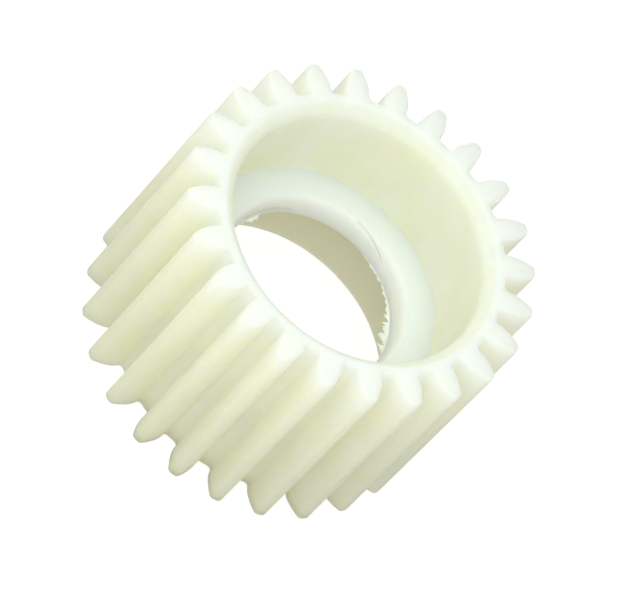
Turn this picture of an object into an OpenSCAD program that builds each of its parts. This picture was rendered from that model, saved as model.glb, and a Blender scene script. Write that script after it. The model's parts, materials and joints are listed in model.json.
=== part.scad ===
// Moulded spur gear with a ball-bearing seat in each end and a thin web between them.
// The gear stands on its lower end face. +Z runs along its axis, and the origin is the
// centre of the lower end face, with a tooth centred on +X.

/* [Teeth] */
// Module: pitch diameter divided by the number of teeth
gear_module = 1.5; // [1.5:0.1:2]
// Number of teeth
tooth_count = 24; // [24:1:40]
// Pressure angle in degrees
pressure_angle = 20; // [18:1:22]
// Radius that rounds each tooth's crest into its flanks
crest_round = 0.6; // [0.2:0.05:0.7]
// Radius of the fillet at each tooth's foot
root_fillet = 0.4; // [0.2:0.05:0.45]

/* [Body] */
// Width of the toothed face, from end to end
face_width = 25.5; // [24:0.5:40]
// Thickness of the web that parts the two bearing seats
web_thickness = 2.5; // [1.5:0.1:4]
// Diameter of the hole through the web
web_hole_d = 20; // [8:0.5:22]

/* [Bearing seats] */
// Diameter of the seat in each end, the outer diameter of a 12 x 28 x 8 bearing
seat_d = 28; // [24:0.5:28]
// Depth and width of the 45 degree lead-in at each seat's mouth
lead_in = 1.3; // [0.4:0.1:1.4]

/* [Hidden] */

// Standard full-depth proportions
pitch_r = gear_module * tooth_count / 2;
tip_r = pitch_r + gear_module;
root_r = pitch_r - 1.25 * gear_module;
base_r = pitch_r * cos(pressure_angle);

// Involute function in degrees: polar angle gained by a flank that leans by a degrees
function involute(a) = tan(a) * 180 / PI - a;

// Half of a tooth's angle on the base circle
half_tooth = 90 / tooth_count + involute(pressure_angle);

// The foot fillet touches the root circle and a radial line below the flank
foot_centre_r = root_r + root_fillet;
foot_touch_r = sqrt(foot_centre_r * foot_centre_r - root_fillet * root_fillet);

// The flank starts on the base circle, or at the fillet where that is further out
flank_start_r = max(base_r, foot_touch_r);
flank_start_lean = acos(base_r / flank_start_r);
flank_start_roll = tan(flank_start_lean) * 180 / PI;
foot_half = half_tooth - involute(flank_start_lean);
foot_offset = foot_half + asin(root_fillet / foot_centre_r);
foot_turn = 90 + foot_half - foot_offset;

// The crest arc's centre lies on the flank's parallel curve, one crest radius inside it
crest_centre_r = tip_r - crest_round;
crest_reach = sqrt(crest_centre_r * crest_centre_r - base_r * base_r);
flank_end_roll = (crest_reach + crest_round) / base_r * 180 / PI;
crest_lean = atan(crest_reach / base_r);
crest_offset = half_tooth - (flank_end_roll - crest_lean);
crest_turn = 90 - crest_lean;

// Points along a flank, a crest arc and a foot fillet
flank_steps = 8;
arc_steps = 4;

// Depth of each bearing seat
seat_depth = (face_width - web_thickness) / 2;

// Small overshoot that keeps cuts clear of the faces they pass through
clear = 1;

function polar(r, a) = [r * cos(a), r * sin(a)];

// A point on the flank at roll angle t, at polar angle 0 where the flank starts
function flank_point(t) = polar(base_r, t) + polar(base_r * t * PI / 180, t - 90);

function turned(p, a) = [p[0] * cos(a) - p[1] * sin(a), p[0] * sin(a) + p[1] * cos(a)];

// The lower half of a tooth that is centred on +X, from the root circle to the crest
half_outline = [
    for (i = [0 : arc_steps])
        polar(foot_centre_r, -foot_offset)
            + polar(root_fillet, 180 - foot_offset - foot_turn * i / arc_steps),
    for (i = [0 : flank_steps])
        turned(
            flank_point(flank_start_roll + (flank_end_roll - flank_start_roll) * i / flank_steps),
            -half_tooth
        ),
    for (i = [1 : arc_steps])
        polar(crest_centre_r, -crest_offset)
            + polar(crest_round, -crest_offset - crest_turn * (1 - i / arc_steps))
];

// The whole tooth: the half, then its mirror image in reverse order
tooth_outline = concat(
    half_outline,
    [for (i = [len(half_outline) - 1 : -1 : 0]) [half_outline[i][0], -half_outline[i][1]]]
);

module toothed_blank() {
    linear_extrude(height = face_width)
        polygon([
            for (k = [0 : tooth_count - 1])
                for (p = tooth_outline)
                    turned(p, k * 360 / tooth_count)
        ]);
}

// One bearing seat, open at z = 0 and cut upwards, with its conical lead-in
module seat_cut() {
    translate([0, 0, -clear])
        cylinder(d = seat_d, h = seat_depth + clear, $fn = 96);
    translate([0, 0, -clear])
        cylinder(d1 = seat_d + 2 * (lead_in + clear), d2 = seat_d, h = lead_in + clear, $fn = 96);
}

module gear() {
    color([0.93, 0.94, 0.86])
        difference() {
            toothed_blank();
            seat_cut();
            translate([0, 0, face_width])
                mirror([0, 0, 1])
                    seat_cut();
            cylinder(d = web_hole_d, h = face_width, $fn = 96);
        }
}

gear();
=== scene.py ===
import json
import math

import bmesh
import bpy
import numpy as np
from mathutils import Matrix, Vector


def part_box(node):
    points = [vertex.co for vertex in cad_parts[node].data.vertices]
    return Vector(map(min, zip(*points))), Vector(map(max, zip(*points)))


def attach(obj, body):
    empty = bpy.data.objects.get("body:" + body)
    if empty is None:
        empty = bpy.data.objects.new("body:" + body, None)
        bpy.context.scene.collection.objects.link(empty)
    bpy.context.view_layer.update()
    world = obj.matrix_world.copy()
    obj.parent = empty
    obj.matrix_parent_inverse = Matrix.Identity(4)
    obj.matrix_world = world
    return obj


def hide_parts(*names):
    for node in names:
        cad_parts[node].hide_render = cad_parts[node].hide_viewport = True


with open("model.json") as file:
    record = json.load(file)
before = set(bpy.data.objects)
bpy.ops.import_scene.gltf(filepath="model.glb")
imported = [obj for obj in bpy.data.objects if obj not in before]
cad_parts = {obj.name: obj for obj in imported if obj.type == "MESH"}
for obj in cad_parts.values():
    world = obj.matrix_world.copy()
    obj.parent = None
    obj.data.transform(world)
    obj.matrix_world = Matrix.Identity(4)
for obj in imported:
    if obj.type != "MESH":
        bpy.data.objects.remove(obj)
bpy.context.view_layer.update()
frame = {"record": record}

MM = 0.001
scene = bpy.context.scene

# ---------------------------------------------------------------- sizes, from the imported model

mounts = {mount["name"]: mount for mount in frame["record"]["mounts"]}
_, gear_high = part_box("gear")

TOOTH_COUNT = 24
PITCH_ANGLE = 2 * math.pi / TOOTH_COUNT
PRESSURE_ANGLE = math.radians(20)
TIP_R = gear_high.x
FACE_WIDTH = gear_high.z
MODULE = TIP_R / (TOOTH_COUNT / 2 + 1)
ROOT_R = TIP_R - 2.25 * MODULE
BASE_R = (TIP_R - MODULE) * math.cos(PRESSURE_ANGLE)
CREST_ROUND = 0.4 * MODULE
ROOT_FILLET = 0.4 * MM

SEAT_R = mounts["upper_bearing_seat"]["dims"]["r_mm"] * MM
WEB_HOLE_R = mounts["web_hole"]["dims"]["r_mm"] * MM
WEB_LOW = (FACE_WIDTH - mounts["web_hole"]["dims"]["length_mm"] * MM) / 2
WEB_HIGH = FACE_WIDTH - WEB_LOW
LEAD_IN = WEB_LOW - mounts["upper_bearing_seat"]["dims"]["length_mm"] * MM
MOUTH_R = SEAT_R + LEAD_IN

# ---------------------------------------------------------------- sizes of the moulding's detail

# Roundings of the tooth ends, measured inwards and along the axis
UPPER_EDGE = 0.25 * MM
UPPER_EDGE_DROP = 0.6 * MM
LOWER_EDGE = 0.35 * MM

# Roundings in the bore, from an end face to the web
MOUTH_EDGE = 0.5 * MM
SEAT_EDGE = 1.2 * MM
FLOOR_FILLET = 0.3 * MM
HOLE_EDGE = 0.9 * MM

# The lead-in's outer edge is blended by an arc that starts this far out on the end face
MOUTH_BLEND = MOUTH_EDGE * math.tan(math.pi / 8)

# The web's hole is this much wider at its upper edge
HOLE_DRAFT = 0.25 * MM

# Thickness of the flash where it leaves the hole's wall
FIN_ROOT = 0.2 * MM

# Shallow sinks in the tooth ends: depth, place from the axis, reach along and across the tooth
SINK_DEPTH = 0.07 * MM
SINK_R = 0.925 * TIP_R
SINK_LENGTH = 0.75 * MM
SINK_WIDTH = 0.42 * MM

# Unevenness of the whole skin: depth and width of its bumps
UNEVEN_DEPTH = 0.03 * MM
UNEVEN_LENGTH = 3.5 * MM

# Mesh steps: half a root land, a tooth's foot, a foot fillet, a flank and half a crest
LAND_STEPS = 2
FOOT_STEPS = 20
FILLET_STEPS = 5
FLANK_STEPS = 16
CREST_STEPS = 7

# Mesh steps: an end edge's arc, the tooth's length, and the web hole's edge and wall
END_ARC_STEPS = 7
LENGTH_STEPS = 25
HOLE_EDGE_STEPS = 15
HOLE_WALL_STEPS = 27

# Mesh steps of the flash, and the longest straight step and widest arc step in the bore
FIN_STEPS = 5
BORE_STEP = 0.5 * MM
BORE_ARC_STEP = math.radians(14)

# Points of the mesh that lie closer than this are one point
WELD = 0.002 * MM


# ---------------------------------------------------------------- camera, floor and light

# Where the camera looks from and at, and how far it is rolled on its side. Angles in degrees.
CAMERA_AZIMUTH = 6.94
CAMERA_ELEVATION = 49.56
CAMERA_ROLL = -43.61
CAMERA_AIM = Vector((0.68, 0.08, 11.93)) * MM
CAMERA_DISTANCE = 608 * MM

# The lens and the sensor are in millimetres, as Blender takes them
CAMERA_LENS = 348
CAMERA_SENSOR = 36


def aim_camera():
    """A long lens that looks down on the upper end from in front."""
    angles = (CAMERA_AZIMUTH, CAMERA_ELEVATION, CAMERA_ROLL)
    azimuth, elevation, roll = (math.radians(angle) for angle in angles)
    back = Vector((
        math.sin(azimuth) * math.cos(elevation),
        -math.cos(azimuth) * math.cos(elevation),
        math.sin(elevation),
    ))
    level_right = Vector((0, 0, 1)).cross(back).normalized()
    level_up = back.cross(level_right)
    up = level_up * math.cos(roll) + level_right * math.sin(roll)
    right = up.cross(back)
    camera = bpy.data.objects.new("camera", bpy.data.cameras.new("camera"))
    camera.data.sensor_width = CAMERA_SENSOR
    camera.data.lens = CAMERA_LENS
    turn = Matrix((right, up, back)).transposed().to_4x4()
    camera.matrix_world = Matrix.Translation(CAMERA_AIM + back * CAMERA_DISTANCE) @ turn
    camera.data.clip_start = 0.05
    camera.data.clip_end = 20
    scene.collection.objects.link(camera)
    scene.camera = camera


def add_softbox(name, direction, distance, size, power, colour):
    """A square area light that shines on the middle of the gear from a direction."""
    lamp = bpy.data.lights.new(name, "AREA")
    lamp.size = size
    lamp.energy = power
    lamp.color = colour
    box = bpy.data.objects.new(name, lamp)
    centre = Vector((0, 0, FACE_WIDTH / 2))
    away = Vector(direction).normalized()
    box.location = centre + away * distance
    box.rotation_mode = "QUATERNION"
    box.rotation_quaternion = away.to_track_quat("Z", "Y")
    box.visible_camera = False
    scene.collection.objects.link(box)


def add_world(colour, strength):
    """Even light from all round."""
    world = bpy.data.worlds.new("studio")
    world.use_nodes = True
    background = world.node_tree.nodes["Background"]
    background.inputs["Color"].default_value = (*colour, 1)
    background.inputs["Strength"].default_value = strength
    scene.world = world


# The floor's half width in metres, its own colour, and its glow as the camera sees it
FLOOR_HALF_WIDTH = 1.5
FLOOR_PAPER = (0.25, 0.25, 0.24)
FLOOR_SEEN = (0.88, 0.88, 0.88)

# Its glow as the gear gets it: millimetres from the gear's axis and a colour, which is dim
# where the gear stands in its own light. The ramp between them is FLOOR_REACH long.
FLOOR_REACH = 100
FLOOR_GLOW = (
    (13, (0.6, 0.6, 0.54)),
    (16, (0.45, 0.45, 0.37)),
    (24, (0.45, 0.45, 0.37)),
    (28, (0.11, 0.11, 0.09)),
    (50, (0.11, 0.11, 0.09)),
    (60, (1.12, 1.12, 0.93)),
)


def floor_material():
    """White to the camera. To the gear it glows by FLOOR_GLOW, as bounced studio light."""
    material = bpy.data.materials.new("pale_floor")
    material.use_nodes = True
    nodes, links = material.node_tree.nodes, material.node_tree.links
    nodes.clear()
    paper = nodes.new("ShaderNodeBsdfDiffuse")
    paper.inputs["Color"].default_value = (*FLOOR_PAPER, 1)
    place = nodes.new("ShaderNodeTexCoord")
    from_axis = nodes.new("ShaderNodeVectorMath")
    from_axis.operation = "LENGTH"
    links.new(place.outputs["Object"], from_axis.inputs[0])
    share = nodes.new("ShaderNodeMapRange")
    share.inputs["From Max"].default_value = FLOOR_REACH * MM
    links.new(from_axis.outputs["Value"], share.inputs["Value"])
    shade = nodes.new("ShaderNodeValToRGB")
    stops = shade.color_ramp.elements
    for index, (distance, colour) in enumerate(FLOOR_GLOW):
        position = distance / FLOOR_REACH
        stop = stops[index] if index < 2 else stops.new(position)
        stop.position = position
        stop.color = (*colour, 1)
    links.new(share.outputs["Result"], shade.inputs["Fac"])
    seen = nodes.new("ShaderNodeLightPath")
    glow = nodes.new("ShaderNodeMix")
    glow.data_type = "RGBA"
    glow.inputs["B"].default_value = (*FLOOR_SEEN, 1)
    links.new(shade.outputs["Color"], glow.inputs["A"])
    links.new(seen.outputs["Is Camera Ray"], glow.inputs["Factor"])
    emission = nodes.new("ShaderNodeEmission")
    links.new(glow.outputs["Result"], emission.inputs["Color"])
    both = nodes.new("ShaderNodeAddShader")
    links.new(paper.outputs[0], both.inputs[0])
    links.new(emission.outputs[0], both.inputs[1])
    output = nodes.new("ShaderNodeOutputMaterial")
    links.new(both.outputs[0], output.inputs["Surface"])
    return material


def add_floor():
    """A plain white floor under the gear."""
    half = FLOOR_HALF_WIDTH
    mesh = bpy.data.meshes.new("floor")
    corners = [(-half, -half, 0), (half, -half, 0), (half, half, 0), (-half, half, 0)]
    mesh.from_pydata(corners, [], [(0, 1, 2, 3)])
    floor = bpy.data.objects.new("floor", mesh)
    scene.collection.objects.link(floor)
    mesh.materials.append(floor_material())


# ---------------------------------------------------------------- noise and fades

def wave_noise(points, length, seed, waves=16):
    """Smooth seeded noise, about -1 to 1, whose bumps are about length across."""
    rng = np.random.default_rng(seed)
    points = np.asarray(points, float)
    directions = rng.normal(size=(waves, points.shape[1]))
    directions /= np.linalg.norm(directions, axis=1)[:, None]
    pitch = math.pi / length * rng.uniform(0.6, 1.5, waves)
    phases = rng.uniform(0, 2 * math.pi, waves)
    return np.sin(points @ (directions * pitch[:, None]).T + phases).sum(1) / math.sqrt(2 * waves)


def round_noise(angles, bumps, seed):
    """The same noise along a circle, with a number of bumps in one turn."""
    circle = np.column_stack([np.cos(angles), np.sin(angles)])
    return wave_noise(circle, math.pi / bumps, seed)


def window(angles, start, end, fade_in, fade_out):
    """1 between two angles in degrees, fading to 0 over fade degrees outside them."""
    degrees = (np.degrees(angles) - start + 180) % 360 - 180 + start
    rise = np.clip((degrees - start) / fade_in + 1, 0, 1)
    fall = np.clip((end - degrees) / fade_out + 1, 0, 1)
    smooth = np.minimum(rise, fall)
    return smooth * smooth * (3 - 2 * smooth)


def step_up(value, start, reach):
    """0 up to start, then rising evenly to 1 over reach."""
    return np.clip((value - start) / reach, 0, 1)


def bell(distance, reach):
    """1 at no distance, falling smoothly to about a third at reach."""
    return np.exp(-((distance / reach) ** 2))


# ---------------------------------------------------------------- tooth outline

def polar(radius, angle):
    """Points at a radius and an angle, as complex numbers."""
    return radius * np.exp(1j * np.asarray(angle))


def involute(angle):
    """The involute function of a pressure angle in radians."""
    return math.tan(angle) - angle


def half_tooth_outline():
    """Points and outward normals, as complex numbers, up one side of a tooth centred on +X.

    They run from the middle of the gap below the tooth to the middle of its crest.
    The third value is the index at which the foot fillet starts.
    """
    half_tooth = PITCH_ANGLE / 4 + involute(PRESSURE_ANGLE)
    foot_centre_r = ROOT_R + ROOT_FILLET
    foot_offset = half_tooth + math.asin(ROOT_FILLET / foot_centre_r)
    foot_turn = math.pi / 2 + half_tooth - foot_offset
    crest_centre_r = TIP_R - CREST_ROUND
    crest_reach = math.sqrt(crest_centre_r**2 - BASE_R**2)
    flank_end_roll = (crest_reach + CREST_ROUND) / BASE_R
    crest_lean = math.atan(crest_reach / BASE_R)
    crest_offset = half_tooth - (flank_end_roll - crest_lean)
    crest_turn = math.pi / 2 - crest_lean

    gap = np.linspace(-PITCH_ANGLE / 2, -foot_offset, LAND_STEPS + 1)[:-1]
    foot = math.pi - foot_offset - foot_turn * np.linspace(0, 1, FILLET_STEPS + 1)
    flank = flank_end_roll * np.linspace(0, 1, FLANK_STEPS + 1)[1:]
    crest = -crest_offset - crest_turn * np.linspace(1, 0, CREST_STEPS + 1)[1:]
    middle = np.array([0.0])
    flank_normal = polar(1, flank - math.pi / 2 - half_tooth)
    points = [
        polar(ROOT_R, gap),
        polar(foot_centre_r, -foot_offset) + polar(ROOT_FILLET, foot),
        polar(BASE_R, flank - half_tooth) + BASE_R * flank * flank_normal,
        polar(crest_centre_r, -crest_offset) + polar(CREST_ROUND, crest),
        polar(TIP_R, middle),
    ]
    normals = [polar(1, gap), -polar(1, foot), flank_normal, polar(1, crest), polar(1, middle)]
    return np.concatenate(points), np.concatenate(normals), len(gap)


def at_height(plane, z):
    """Complex numbers and heights become rows of x, y, z."""
    z = np.broadcast_to(z, plane.shape)
    return np.stack([plane.real, plane.imag, z], axis=-1)


def end_arc(inset, drop):
    """Inset and drop of points round an end edge, from the flank to the end face."""
    turn = np.linspace(0, math.pi / 2, END_ARC_STEPS + 1)
    return inset * (1 - np.cos(turn)), drop * (1 - np.sin(turn))


def sink(plane):
    """Depth of the shallow sink that each thick tooth has in its end faces.

    It fades to nothing before the tooth's edges, where the end face meets the wall.
    """
    along = (plane.real - SINK_R) / SINK_LENGTH
    across = plane.imag / SINK_WIDTH
    return SINK_DEPTH * np.clip(1.25 * np.exp(-(along**2) - across**2) - 0.25, 0, 1)


def toothed_wall():
    """The outside of one tooth and half of each gap beside it, as a grid of rows."""
    side, normal, _ = half_tooth_outline()
    outline = np.concatenate([side, np.conj(side[-2::-1])])
    outward = np.concatenate([normal, np.conj(normal[-2::-1])])
    low_inset, low_drop = (values[::-1] for values in end_arc(LOWER_EDGE, LOWER_EDGE))
    high_inset, high_drop = end_arc(UPPER_EDGE, UPPER_EDGE_DROP)
    rows = [at_height(outline - outward * i, d) for i, d in zip(low_inset, low_drop)]
    above_low_edge = LOWER_EDGE + MM * np.array([0.15, 0.3, 0.5])
    middle = np.linspace(LOWER_EDGE, FACE_WIDTH - UPPER_EDGE_DROP, LENGTH_STEPS + 1)[1:-1]
    rows += [at_height(outline, z) for z in np.concatenate([above_low_edge, middle])]
    for inset, drop in zip(high_inset, high_drop):
        rows.append(at_height(outline - outward * inset, FACE_WIDTH - drop))
    return np.stack(rows)


def end_face(z, sink_sign, rounding):
    """The flat end of one tooth, the rim inside it, and the rim's column angles."""
    side, normal, foot_index = half_tooth_outline()
    side = side - rounding * normal
    share = np.linspace(-1, 1, FOOT_STEPS + 1)
    rungs = []
    for point in side[foot_index:]:
        half_width = max(abs(np.angle(point)), 1e-9)
        spread = np.tan(share * half_width) / math.tan(half_width)
        rungs.append(point.real + 1j * abs(point.imag) * spread)
    rungs = np.stack(rungs)
    tooth = at_height(rungs, z - sink_sign * sink(rungs))
    gap = side[:foot_index]
    foot = np.concatenate([gap, rungs[0], np.conj(gap[::-1])])
    steps = np.linspace(0, 1, 4)[:, None]
    rim_r = abs(foot) * (1 - steps) + (MOUTH_R + MOUTH_BLEND) * steps
    rim = polar(1, np.angle(foot)) * rim_r
    return tooth, at_height(rim, z - sink_sign * sink(rim)), np.angle(foot)


# ---------------------------------------------------------------- bore

# Stretches round the web's hole, in degrees: start, end, fade in and fade out.
# Where the flash is torn most, torn less and torn again opposite, and where it is bent:
MOST_TORN = (24, 34, 10, 26)
LESS_TORN = (20, 75, 6, 20)
FAR_TORN = (165, 174, 2, 5)
BENT = (16, 58, 6, 30)

# The slit that slants down from the hole's upper edge, and the one just above the flash
SLANTING_SLIT = (84, 104, 10, 1.5)
LOW_SLIT = (148, 175, 10, 3)

# The slits' width and depth into the wall, and the ridge below each
SLIT_WIDTH = 0.11 * MM
SLIT_CUT = 0.3 * MM
RIDGE_WIDTH = 0.25 * MM
RIDGE_HEIGHT = 0.15 * MM


def corner_arc(before, corner, after):
    """Points round one corner (r, z, rounding) of a profile, between its neighbours."""
    here = np.array(corner[:2])
    to_before = np.array(before[:2]) - here
    to_after = np.array(after[:2]) - here
    to_before /= np.linalg.norm(to_before)
    to_after /= np.linalg.norm(to_after)
    half = math.acos(np.clip(to_before @ to_after, -1, 1)) / 2
    reach = corner[2] / math.tan(half)
    inwards = (to_before + to_after) / np.linalg.norm(to_before + to_after)
    middle = here + inwards * (corner[2] / math.sin(half))
    start = here + to_before * reach - middle
    end = here + to_after * reach - middle
    turn = math.pi - 2 * half
    steps = max(3, math.ceil(turn / BORE_ARC_STEP))
    points = []
    for share in np.linspace(0, 1, steps + 1):
        arc = math.sin((1 - share) * turn) * start + math.sin(share * turn) * end
        points.append(middle + arc / math.sin(turn))
    return points


def rounded_profile(corners):
    """Turns corners (r, z, rounding) into points with arcs at the corners.

    The first and last corners stay as they are. Straight stretches are cut into
    steps no longer than BORE_STEP.
    """
    points = [np.array(corners[0][:2])]
    for before, corner, after in zip(corners, corners[1:], corners[2:]):
        points += corner_arc(before, corner, after)
    points.append(np.array(corners[-1][:2]))
    full = [points[0]]
    for point in points[1:]:
        start = full[-1]
        count = max(1, math.ceil(np.linalg.norm(point - start) / BORE_STEP))
        full += [start + (point - start) * (k + 1) / count for k in range(count)]
    return np.array(full)


def upper_bore_profile():
    """Radius and height from the upper end face down to the flash in the web's hole."""
    seat = rounded_profile([
        (MOUTH_R + MOUTH_BLEND, FACE_WIDTH, 0),
        (MOUTH_R, FACE_WIDTH, MOUTH_EDGE),
        (SEAT_R, FACE_WIDTH - LEAD_IN, SEAT_EDGE),
        (SEAT_R, WEB_HIGH, FLOOR_FILLET),
        (WEB_HOLE_R + HOLE_DRAFT + HOLE_EDGE, WEB_HIGH, 0),
    ])
    turn = np.linspace(0, math.pi / 2, HOLE_EDGE_STEPS + 1)[1:]
    edge_r = WEB_HOLE_R + HOLE_DRAFT + HOLE_EDGE * (1 - np.sin(turn))
    edge_z = WEB_HIGH - HOLE_EDGE * (1 - np.cos(turn))
    wall_z = np.linspace(WEB_HIGH - HOLE_EDGE, WEB_LOW + FIN_ROOT, HOLE_WALL_STEPS + 1)[1:]
    wall_r = WEB_HOLE_R + HOLE_DRAFT * np.linspace(1, 0, HOLE_WALL_STEPS + 1)[1:]
    return np.vstack([seat, np.column_stack([edge_r, edge_z]), np.column_stack([wall_r, wall_z])])


def lower_bore_profile():
    """Radius and height from the web's lower edge down to the lower end face."""
    return rounded_profile([
        (WEB_HOLE_R, WEB_LOW, 0),
        (SEAT_R, WEB_LOW, FLOOR_FILLET),
        (SEAT_R, LEAD_IN, SEAT_EDGE),
        (MOUTH_R, 0, MOUTH_EDGE),
        (MOUTH_R + MOUTH_BLEND, 0, 0),
    ])


def fin_length(angles):
    """How far the torn flash reaches into the web's hole, round the hole."""
    ragged = 0.8 + 0.45 * round_noise(angles, 60, 3) + 0.35 * round_noise(angles, 150, 4)
    torn = 0.6 * window(angles, *MOST_TORN) + 0.3 * window(angles, *LESS_TORN)
    torn += 0.4 * window(angles, *FAR_TORN)
    return MM * (0.1 + torn * np.clip(ragged, 0.15, 1.3))


def fin_bend(angles):
    """How far the flash's tip is bent up or down."""
    return MM * (0.1 + 0.25 * round_noise(angles, 34, 5)) * window(angles, *BENT)


def fin_surface(angles):
    """The flash's upper side from root to tip, then its lower side back to the root."""
    outwards = np.linspace(0, 1, FIN_STEPS + 1)
    share = np.concatenate([outwards, outwards[::-1]])[:, None]
    on_top = np.repeat([1, 0], FIN_STEPS + 1)[:, None]
    thickness = FIN_ROOT * (1 - 0.75 * np.sqrt(share)) * on_top
    radius = WEB_HOLE_R - fin_length(angles) * share
    z = WEB_LOW + thickness + fin_bend(angles) * share**2
    return at_height(polar(radius, angles[None, :]), z)


def slit_shape(angles):
    """Strength and depth below the web's upper face of the slits in the hole's wall.

    The slanting one sinks faster and faster with the degrees from its upper end.
    """
    slant = window(angles, *SLANTING_SLIT)
    low = window(angles, *LOW_SLIT)
    upper_end = SLANTING_SLIT[1] + 1
    from_upper_end = np.clip(upper_end - np.degrees(angles) % 360, 0, 35)
    slant_depth = MM * (0.25 + 0.0013 * from_upper_end**2)
    low_depth = WEB_HIGH - WEB_LOW - FIN_ROOT - 0.2 * MM
    return np.maximum(0.6 * slant, low), np.where(low > 0, low_depth, slant_depth)


def mark_hole_edge(radius, z, angles):
    """Cuts the slits into the hole's wall, with a proud ridge below each."""
    strength, centre = slit_shape(angles)
    depth = WEB_HIGH - z
    on_wall = step_up(WEB_HOLE_R + HOLE_EDGE - radius, 0, 0.3 * MM)
    on_wall = on_wall * step_up(z - WEB_LOW, FIN_ROOT, 0.1 * MM)
    slit = SLIT_CUT * strength * bell(depth - centre, SLIT_WIDTH)
    ridge = RIDGE_HEIGHT * strength * bell(depth - centre - 3 * SLIT_WIDTH, RIDGE_WIDTH)
    return radius + on_wall * (slit - ridge)


def revolve(profile, angles, marks=None):
    """A grid with one row per profile point and one column per angle."""
    radius = np.repeat(profile[:, 0][:, None], len(angles), axis=1)
    z = np.repeat(profile[:, 1][:, None], len(angles), axis=1)
    if marks:
        radius = marks(radius, z, angles[None, :])
    return at_height(polar(radius, angles[None, :]), z)


def bore_grids(angles):
    """The bore's wall from the upper end face to the lower one, as three grids."""
    upper = revolve(upper_bore_profile(), angles, marks=mark_hole_edge)
    return upper, fin_surface(angles), revolve(lower_bore_profile(), angles)


# ---------------------------------------------------------------- the moulding

class Skin:
    """Collects grids of points as quads, and welds the grids that share a border."""

    def __init__(self):
        self.points = []
        self.quads = []
        self.count = 0

    def add(self, grid, closed=False):
        """Adds a grid. A closed one joins its last column to its first."""
        rows, columns = grid.shape[:2]
        index = self.count + np.arange(rows * columns).reshape(rows, columns)
        after = np.roll(index, -1, axis=1) if closed else index[:, 1:]
        here = index if closed else index[:, :-1]
        quads = np.stack([here[:-1], after[:-1], after[1:], here[1:]], axis=-1)
        self.points.append(grid.reshape(-1, 3))
        self.quads.append(quads.reshape(-1, 4))
        self.count += rows * columns

    def to_object(self, name):
        """Makes one smooth object of everything that was added."""
        mesh = bpy.data.meshes.new(name)
        points = np.concatenate(self.points).tolist()
        quads = np.concatenate(self.quads).tolist()
        mesh.from_pydata(points, [], quads)
        shape = bmesh.new()
        shape.from_mesh(mesh)
        bmesh.ops.remove_doubles(shape, verts=shape.verts, dist=WELD)
        bmesh.ops.recalc_face_normals(shape, faces=shape.faces)
        for face in shape.faces:
            face.smooth = True
        shape.to_mesh(mesh)
        shape.free()
        piece = bpy.data.objects.new(name, mesh)
        scene.collection.objects.link(piece)
        return piece


def turned(grid, angle):
    """A grid turned about the gear's axis."""
    spin = np.array([
        [math.cos(angle), math.sin(angle), 0],
        [-math.sin(angle), math.cos(angle), 0],
        [0, 0, 1],
    ])
    return grid @ spin


def vertex_positions(piece):
    """The piece's vertices as rows of x, y, z."""
    points = np.zeros(len(piece.data.vertices) * 3)
    piece.data.vertices.foreach_get("co", points)
    return points.reshape(-1, 3)


def make_uneven(piece, seed):
    """Sinks the skin here and there, as a moulding cools unevenly. It never grows outwards."""
    mesh = piece.data
    points = vertex_positions(piece)
    normals = np.zeros(points.size)
    mesh.vertex_normals.foreach_get("vector", normals)
    depth = UNEVEN_DEPTH * np.clip(0.5 + 0.5 * wave_noise(points, UNEVEN_LENGTH, seed), 0, 1)
    points = points - normals.reshape(-1, 3) * depth[:, None]
    points[:, 2] = np.clip(points[:, 2], 0, FACE_WIDTH)
    mesh.vertices.foreach_set("co", points.ravel())
    mesh.update()


def make_gear():
    """The whole moulding: 24 teeth, two end faces and the bore, welded into one skin."""
    skin = Skin()
    wall = toothed_wall()
    upper_tooth, upper_rim, foot_angles = end_face(FACE_WIDTH, 1, UPPER_EDGE)
    lower_tooth, lower_rim, _ = end_face(0, -1, LOWER_EDGE)
    for k in range(TOOTH_COUNT):
        for grid in (wall, upper_tooth, upper_rim, lower_tooth, lower_rim):
            skin.add(turned(grid, k * PITCH_ANGLE))
    angles = np.concatenate([foot_angles[:-1] + k * PITCH_ANGLE for k in range(TOOTH_COUNT)])
    for grid in bore_grids(angles):
        skin.add(grid, closed=True)
    gear = skin.to_object("gear_moulding")
    make_uneven(gear, seed=11)
    paint_colour_zones(gear)
    return gear


# ---------------------------------------------------------------- colour zones

# Stretches round the gear, in degrees: start, end, fade in and fade out. Where the hole's painted
# highlight is creamiest, where the upper end's painted light reaches further down, and where the
# painted shade at the lower end is darkest:
FLASH_HIGHLIGHT = (20, 60, 5, 18)
PAINTED_LIGHT_SIDE = (80, 190, 40, 25)
SHADIER_FOOT_SIDE = (265, 335, 12, 20)


def paint(piece, name, values):
    """Stores one number per vertex for the material to read."""
    layer = piece.data.attributes.new(name, "FLOAT", "POINT")
    layer.data.foreach_set("value", np.asarray(values, np.float32))


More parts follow.
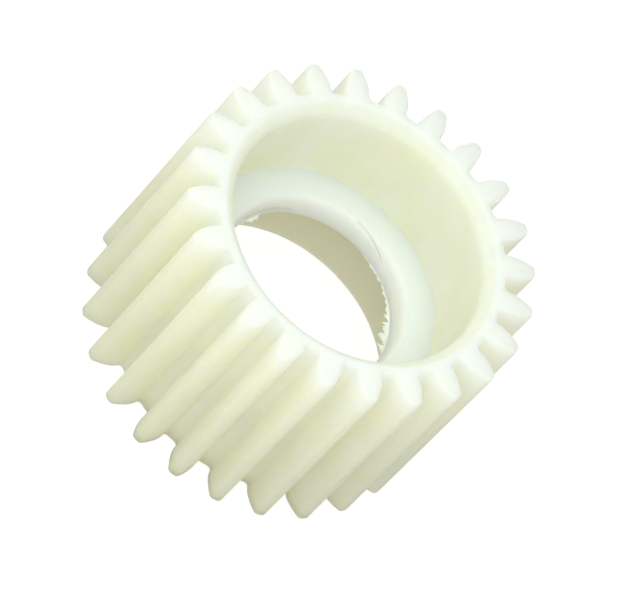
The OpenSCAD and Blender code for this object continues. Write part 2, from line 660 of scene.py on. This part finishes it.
def paint_bore(piece, radius, z, angles):
    """The thin web with its painted shade, the hole's edge with its painted highlight, the flash,
    painted shade in the slits, and the lower seat's painted shade.
    """
    off_web = np.maximum(np.maximum(z - WEB_HIGH, WEB_LOW - z), 0)
    # The web is less yellow, as thin nylon is, and painted darker: painted shade on the web
    inside_seat = step_up(SEAT_R - radius, 0, 0.3 * MM)
    paint(piece, "thin", bell(off_web, 0.15 * MM) * inside_seat)

    # The hole's edge and wall are painted near white: a painted highlight
    near_hole = step_up(WEB_HOLE_R + HOLE_EDGE - radius, 0, 0.5 * MM)
    edge = near_hole * step_up(z - WEB_LOW, -0.3 * MM, 0.1 * MM)
    paint(piece, "edge", edge)
    # On one stretch the hole's painted highlight is creamier: painted light through the flash
    paint(piece, "flash", edge * window(angles, *FLASH_HIGHLIGHT))

    off_wall = step_up(WEB_HOLE_R - radius, 0.03 * MM, 0.1 * MM)
    low_down = step_up(WEB_LOW + 0.4 * MM - z, 0, 0.1 * MM)
    paint(piece, "fin", off_wall * low_down)

    # Painted shade along the slits
    strength, centre = slit_shape(angles)
    paint(piece, "painted_slit_shade", bell(WEB_HIGH - z - centre, SLIT_WIDTH) * strength * near_hole)

    # The lower seat is painted darker: painted shade below the web
    below_web = step_up(WEB_LOW - z, 0, 0.2 * MM)
    in_bore = step_up(MOUTH_R + 0.2 * MM - radius, 0, 0.1 * MM)
    off_end = step_up(z, 0.03 * MM, 0.1 * MM)
    paint(piece, "lower_seat_shade", below_web * in_bore * off_end)


def paint_teeth(piece, radius, z, angles):
    """The crests and gaps, painted darker and paler as painted shade and light, and painted shade at
    the lower end, darkest on one side.
    """
    outside = step_up(radius - ROOT_R, -0.5 * MM, 0.2 * MM)
    # The crests are painted darker and yellower: painted shade on the crests
    paint(piece, "crest", step_up(radius - TIP_R, -1.1 * MM, 1.1 * MM) * outside)
    # The gaps are painted paler: painted light in the gaps
    paint(piece, "gap", step_up(ROOT_R - radius, -1.8 * MM, 1.8 * MM) * outside)

    # Painted shade at the lower end, darkest on one side
    from_foot = z - 0.2 * MM
    foot_shade = 0.7 * bell(from_foot, 0.8 * MM) + 0.3 * bell(from_foot, 2.2 * MM)
    off_end = step_up(z, 0.03 * MM, 0.1 * MM)
    shadier = 0.3 + 0.7 * window(angles, *SHADIER_FOOT_SIDE)
    paint(piece, "foot", foot_shade * off_end * outside * shadier)


def paint_upper_end(piece, radius, z, angles):
    """The upper end painted lighter: painted light, which reaches further down on one side and is
    less in the bore.
    """
    reach = MM * (2.6 + 4.0 * window(angles, *PAINTED_LIGHT_SIDE))
    in_mouth = step_up(MOUTH_R - radius, 0, 0.3 * MM)
    paint(piece, "upper_end_light", bell(FACE_WIDTH - z, reach) * (1 - 0.8 * in_mouth))


def paint_colour_zones(piece):
    """Marks where the colour differs, as vertex attributes, most of them painted light or shade."""
    x, y, z = vertex_positions(piece).T
    radius = np.hypot(x, y)
    angles = np.arctan2(y, x)
    for paint_part in (paint_bore, paint_teeth, paint_upper_end):
        paint_part(piece, radius, z, angles)


# ---------------------------------------------------------------- material

# Two colours that cloud the body, and then each painted zone's colour, later ones on top
CLOUD_COLOURS = ((0.88, 0.872, 0.70), (0.93, 0.92, 0.815))
ZONE_COLOURS = (
    # Painted light: paler gaps
    ("gap", (0.955, 0.945, 0.80)),
    # Painted shade: darker crests
    ("crest", (0.865, 0.86, 0.685)),
    # Painted shade: the darker lower seat
    ("lower_seat_shade", (0.71, 0.695, 0.59)),
    # Painted light: the lighter upper end
    ("upper_end_light", (0.985, 0.99, 0.92)),
    # The web: less yellow, and darker as painted shade
    ("thin", (0.785, 0.82, 0.80)),
    # Painted highlight: the hole's edge and wall
    ("edge", (0.99, 1.0, 0.965)),
    # Painted highlight: creamier on the flash
    ("flash", (0.985, 0.975, 0.87)),
    ("fin", (0.98, 0.94, 0.76)),
    # Painted shade: the lower end
    ("foot", (0.42, 0.43, 0.38)),
    # Painted shade: the slits
    ("painted_slit_shade", (0.3, 0.3, 0.22)),
)

# How far light passes through the nylon, and through the flash, which is too thin for that
GLOW_DEPTH = 9 * MM
FIN_GLOW_DEPTH = 0.4 * MM


def natural_nylon():
    """Unpigmented nylon: milky, a little yellow in depth, with a fine moulded grain."""
    material = bpy.data.materials.new("natural_nylon")
    material.use_nodes = True
    nodes, links = material.node_tree.nodes, material.node_tree.links
    shader = nodes["Principled BSDF"]
    shader.inputs["Subsurface Weight"].default_value = 1.0
    shader.inputs["Subsurface Radius"].default_value = (1.0, 0.85, 0.55)
    shader.inputs["IOR"].default_value = 1.5
    shader.inputs["Specular IOR Level"].default_value = 0.2

    place = nodes.new("ShaderNodeTexCoord")

    def noise(size, detail, rough):
        """A noise texture whose features are about size across."""
        texture = nodes.new("ShaderNodeTexNoise")
        texture.inputs["Scale"].default_value = 1 / size
        texture.inputs["Detail"].default_value = detail
        texture.inputs["Roughness"].default_value = rough
        links.new(place.outputs["Object"], texture.inputs["Vector"])
        return texture.outputs["Fac"]

    def remap(value, low, high, start=0.3, end=0.7):
        """Low at start and high at end. The defaults suit a noise texture."""
        fit = nodes.new("ShaderNodeMapRange")
        fit.inputs["From Min"].default_value = start
        fit.inputs["From Max"].default_value = end
        fit.inputs["To Min"].default_value = low
        fit.inputs["To Max"].default_value = high
        links.new(value, fit.inputs["Value"])
        return fit.outputs["Result"]

    def mix(factor, first, second):
        """Mixes two colours. Each is a colour or another mix's output."""
        blend = nodes.new("ShaderNodeMix")
        blend.data_type = "RGBA"
        links.new(factor, blend.inputs["Factor"])
        for name, colour in (("A", first), ("B", second)):
            if isinstance(colour, tuple):
                blend.inputs[name].default_value = (*colour, 1)
            else:
                links.new(colour, blend.inputs[name])
        return blend.outputs["Result"]

    def painted(name):
        """The number painted on the vertices under a name."""
        attribute = nodes.new("ShaderNodeAttribute")
        attribute.attribute_name = name
        return attribute.outputs["Fac"]

    colour = mix(remap(noise(5 * MM, 3, 0.5), 0, 1), *CLOUD_COLOURS)
    for zone, zone_colour in ZONE_COLOURS:
        colour = mix(painted(zone), colour, zone_colour)
    links.new(colour, shader.inputs["Base Color"])

    depth = remap(painted("fin"), GLOW_DEPTH, FIN_GLOW_DEPTH, start=0, end=1)
    links.new(depth, shader.inputs["Subsurface Scale"])
    links.new(remap(noise(1.2 * MM, 4, 0.6), 0.36, 0.52), shader.inputs["Roughness"])

    grain = nodes.new("ShaderNodeBump")
    grain.inputs["Strength"].default_value = 0.35
    grain.inputs["Distance"].default_value = 0.02 * MM
    links.new(noise(0.35 * MM, 4, 0.6), grain.inputs["Height"])
    links.new(grain.outputs["Normal"], shader.inputs["Normal"])
    return material


# ---------------------------------------------------------------- the scene

scene.view_settings.view_transform = "Standard"
aim_camera()
add_floor()
add_world((1.0, 0.985, 0.82), 0.44)

# Each softbox: direction from the gear, distance and size in metres, power in watts, colour
add_softbox("overhead", (0, 0, 1), 0.2, 0.14, 0.14, (0.80, 0.95, 1.0))
add_softbox("front", (0, -0.643, 0.766), 0.24, 0.16, 0.13, (0.93, 1.0, 0.94))
add_softbox("left", (-0.663, -0.383, 0.643), 0.9, 0.8, 1.8, (0.975, 1.0, 0.765))
add_softbox("right", (0.383, -0.663, 0.643), 0.9, 0.8, 1.1, (0.945, 1.0, 0.92))
add_softbox("back", (-0.262, 0.72, 0.643), 0.9, 0.8, 0.6, (0.95, 1.0, 0.95))

gear = make_gear()
gear.data.materials.append(natural_nylon())
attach(gear, "root")
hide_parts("gear")
